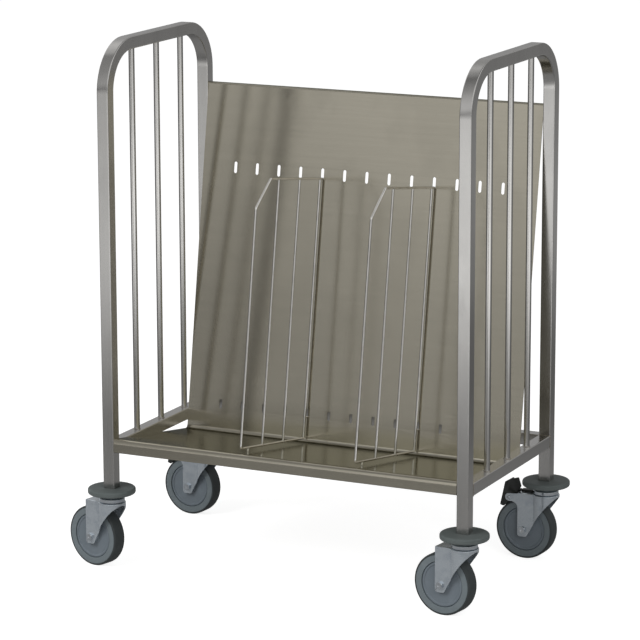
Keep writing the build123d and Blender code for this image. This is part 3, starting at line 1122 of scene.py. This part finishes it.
# ---- Studio ----
@dataclass(frozen=True)
class PaintedDarkReflection:
    """A painted dark reflection: shade painted into the room and the floor that only polished metal shows.

    It stands at an azimuth in degrees. It darkens by its depth where the cosine of the angle from
    there is over inner, and not at all where it is under outer.
    """

    azimuth: float
    outer: float
    inner: float
    depth: float


@dataclass(frozen=True)
class Lamp:
    """A square soft lamp: its name, its place in metres, its power in watts and its side in metres."""

    name: str
    place: Triple
    power: float
    side: float


@dataclass
class Studio:
    """The floor, the light, the dark reflections painted for polished metal, and the camera."""

    # The camera, from the middle between the side frames
    middle_x: float = 0.028
    camera_place: Triple = (2.658876, -5.600505, 1.884363)
    azimuth: float = math.radians(25.572)
    elevation: float = math.radians(12.510)
    roll: float = math.radians(-0.137)
    focal_pixels: float = 3161.6
    sensor: float = 36.0
    farthest: float = 200.0
    # What lights the cart
    lamps: tuple[Lamp, ...] = (
        Lamp("key", (-1.8, -3.2, 3.2), 122.0, 2.2),
        Lamp("fill", (3.0, -2.6, 2.4), 58.0, 2.4),
    )
    lit_height: float = 0.55
    floor_side: float = 60.0
    floor_grey: float = 0.80
    floor_shown: float = 0.50
    floor_glow: float = 0.84
    sky: float = 0.34
    # Painted reflections, the light and shade that only polished metal shows of the room and the floor:
    # reaches on the floor are in metres, those of the room are heights of 1
    room_white: float = 0.80
    wall_dark_reflections: tuple[PaintedDarkReflection, ...] = (
        PaintedDarkReflection(-55.0, 0.86, 0.92, 0.60),
        PaintedDarkReflection(178.0, 0.60, 0.88, 0.50),
    )
    floor_dark_reflections: tuple[PaintedDarkReflection, ...] = (
        PaintedDarkReflection(-55.0, 0.86, 0.95, 0.46),
        PaintedDarkReflection(205.0, -0.10, 0.50, 0.66),
        PaintedDarkReflection(-115.0, 0.30, 0.85, 0.62),
        PaintedDarkReflection(112.0, 0.78, 0.93, 0.70),
    )
    darkest_floor: float = 0.13
    under_cart: float = 0.10
    under_reach: Pair = (0.8, 1.8)
    deep_shade: float = 0.22
    floor_near: Pair = (1.4, 3.8)
    floor_far: Pair = (5.4, 7.6)
    room_shade: float = 0.34
    room_low: Pair = (0.0, 0.18)
    room_high: Pair = (0.82, 0.985)

    def camera(self) -> None:
        """Stand the camera where the photograph was taken from."""
        data = bpy.data.cameras.new("photo_camera")
        data.sensor_width = self.sensor
        data.lens = self.focal_pixels / PHOTO_SIDE * self.sensor
        data.clip_end = self.farthest
        a, e = self.azimuth, self.elevation
        back = Vector((math.sin(a) * math.cos(e), -math.cos(a) * math.cos(e), math.sin(e)))
        right = Vector((math.cos(a), math.sin(a), 0.0))
        level = Matrix((right, back.cross(right), back)).transposed()
        turned = level @ Matrix.Rotation(self.roll, 3, "Z")
        place = Vector(self.camera_place) + Vector((self.middle_x, 0.0, 0.0))
        camera = add_object("photo_camera", data)
        camera.matrix_world = Matrix.Translation(place) @ turned.to_4x4()
        bpy.context.scene.camera = camera

    def seen_directly(self, shader: Shader) -> Signal:
        """Return 1 for rays that show the background: from the camera, and off or through the cart."""
        glossy = shader.ray("Is Glossy Ray")
        return shader.ray("Is Camera Ray").either(glossy).either(shader.ray("Is Transmission Ray"))

    def past_dark_reflections(self, shader: Shader, direction: Signal, *dark_reflections: PaintedDarkReflection) -> Signal:
        """Return how much the painted dark reflections leave of the surroundings.

        Args:
            shader: The tree to build in.
            direction: The way from the cart to what is seen.
            dark_reflections: The painted dark reflections.

        Returns:
            1 where no dark reflection is painted, less towards its middle.
        """
        level = shader.vector("MULTIPLY", direction, (1.0, 1.0, 0.0))
        unit = shader.vector("NORMALIZE", level)
        left = 1.0
        for dark_reflection in dark_reflections:
            turn = math.radians(dark_reflection.azimuth)
            towards = (math.sin(turn), -math.cos(turn), 0.0)
            near = shader.vector("DOT_PRODUCT", unit, towards, output="Value")
            left = left - near.ramp(dark_reflection.outer, dark_reflection.inner) * dark_reflection.depth
        return left

    def room_level(self, shader: Shader) -> Signal:
        """Shade the room for polished metal: dim low down and overhead, white between.

        Args:
            shader: The world's tree.

        Returns:
            How bright the metal shows the room.
        """
        direction = shader.node("ShaderNodeTexCoord", {}, "Generated")
        up = shader.node("ShaderNodeSeparateXYZ", {0: direction}, "Z")
        low = self.room_shade + up.ramp(*self.room_low) * (1.0 - self.room_shade)
        dark_reflections = self.past_dark_reflections(shader, direction, *self.wall_dark_reflections)
        return (low - up.ramp(*self.room_high) * (1.0 - self.deep_shade)) * dark_reflections

    def floor_level(self, shader: Shader) -> Signal:
        """Shade the floor for polished metal: dim by the cart and far off, white between.

        Args:
            shader: The floor's tree.

        Returns:
            How bright the metal shows the floor.
        """
        place = shader.place()
        off = shader.vector("LENGTH", place, output="Value")
        near = self.deep_shade + off.ramp(*self.floor_near) * (1.0 - self.deep_shade)
        dark_reflections = self.past_dark_reflections(shader, place, *self.floor_dark_reflections)
        least = self.darkest_floor + (1.0 - off.ramp(*self.under_reach)) * self.under_cart
        return ((near - off.ramp(*self.floor_far) * self.room_shade) * dark_reflections).either(least)

    def world(self) -> None:
        """Light the cart evenly from all round, against white."""
        world = bpy.data.worlds.new("studio")
        world.use_nodes = True
        shader = Shader(world.node_tree)
        shown = shader.node("ShaderNodeMapRange", {"Value": self.seen_directly(shader), "To Min": self.sky})
        # Glossy rays see the room shaded by room_level: painted reflections of a dim room.
        hidden = (1.0 - self.room_level(shader) * self.room_white) * shader.ray("Is Glossy Ray")
        sockets = {"Color": (*WHITE, 1.0), "Strength": shown * (1.0 - hidden)}
        background = shader.node("ShaderNodeBackground", sockets)
        shader.node("ShaderNodeOutputWorld", {0: background})
        bpy.context.scene.world = world

    def hang(self, lamp: Lamp) -> None:
        """Hang one soft lamp that faces the cart and that polished metal doesn't show.

        Args:
            lamp: The lamp.
        """
        data = bpy.data.lights.new(lamp.name, "AREA")
        data.energy = lamp.power
        data.size = lamp.side
        hung = add_object(lamp.name, data)
        hung.visible_camera = False
        hung.visible_glossy = False
        place = Vector(lamp.place)
        aim = Vector((self.middle_x, 0.0, self.lit_height)) - place
        turned = aim.to_track_quat("-Z", "Y").to_matrix().to_4x4()
        hung.matrix_world = Matrix.Translation(place) @ turned

    def floor(self) -> None:
        """Lay a pale floor that goes on into the white background and keeps a soft shadow."""
        paint = Paint("studio_floor")
        greys = (self.floor_grey, self.floor_shown)
        diffuse, dim = (paint.node("ShaderNodeBsdfDiffuse", {"Color": (g, g, g, 1.0)}) for g in greys)
        glow = paint.node("ShaderNodeEmission", {"Color": (*WHITE, 1.0), "Strength": self.floor_glow})
        dark = paint.node("ShaderNodeEmission", {"Strength": 0.0})
        shown = paint.node("ShaderNodeAddShader", {0: dim, 1: glow})
        chosen = paint.node("ShaderNodeMixShader", {0: self.seen_directly(paint), 1: diffuse, 2: shown})
        # Glossy rays see the floor shaded by floor_level: painted reflections of a dim floor.
        hidden = (1.0 - self.floor_level(paint)) * paint.ray("Is Glossy Ray")
        paint.close(paint.node("ShaderNodeMixShader", {0: hidden, 1: chosen, 2: dark}))
        half = self.floor_side / 2
        mesh = bpy.data.meshes.new("studio_floor")
        corners = [(-half, -half, 0.0), (half, -half, 0.0), (half, half, 0.0), (-half, half, 0.0)]
        mesh.from_pydata(corners, [], [(0, 1, 2, 3)])
        obj = add_object("studio_floor", mesh)
        dress(obj, paint.material)

    def build(self) -> None:
        """Set up the whole studio."""
        bpy.context.scene.view_settings.view_transform = "Standard"
        self.camera()
        self.world()
        self.floor()
        for lamp in self.lamps:
            self.hang(lamp)


def main() -> None:
    """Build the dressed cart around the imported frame."""
    logging.basicConfig(level=logging.INFO, format="%(name)s: %(message)s")
    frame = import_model()
    finishes = Finishes()
    WeldedFrame(frame, finishes).build()
    Rack(frame, finishes).build()
    for side in ("left", "right"):
        Divider(frame, finishes, side=side).build()
    for corner in ("front_left", "front_right", "rear_left", "rear_right"):
        Caster(frame, finishes, corner=corner, braked=corner.startswith("rear")).build()
    Studio().build()


if __name__ == "__main__":
    main()
